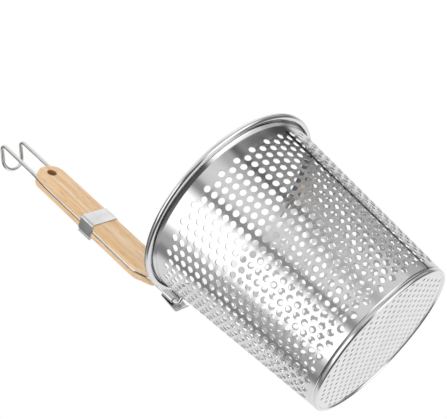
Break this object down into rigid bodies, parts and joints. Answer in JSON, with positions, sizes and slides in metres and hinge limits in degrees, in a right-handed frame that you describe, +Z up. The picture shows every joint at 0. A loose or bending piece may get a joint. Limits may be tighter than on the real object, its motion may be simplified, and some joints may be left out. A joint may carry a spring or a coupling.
{
  "type": "pasta strainer basket",
  "caption": "Perforated steel basket with a rolled rim, held by a wire hairpin with two wooden grip scales, a steel band and a hanging hook.",
  "frame": {"origin": "centre of the underside of the base, on the surface that the basket stands on", "axes": "+Z up along the basket's axis, +X from the axis towards the handle"},
  "size_m": [0.1861, 0.1498, 0.3459],
  "materials": {
    "basket_steel": "bright rolled sheet",
    "wire_steel": "bright drawn wire",
    "band_steel": "satin sheet",
    "grip_wood": "pale, smooth, oiled"
  },
  "bodies": {
    "root": {"basket_wall": "basket_steel", "base_plate": "basket_steel", "handle_wire": "wire_steel", "inner_scale": "grip_wood", "outer_scale": "grip_wood", "grip_band": "band_steel", "rim_bracket": "band_steel"}
  },
  "joints": []
}
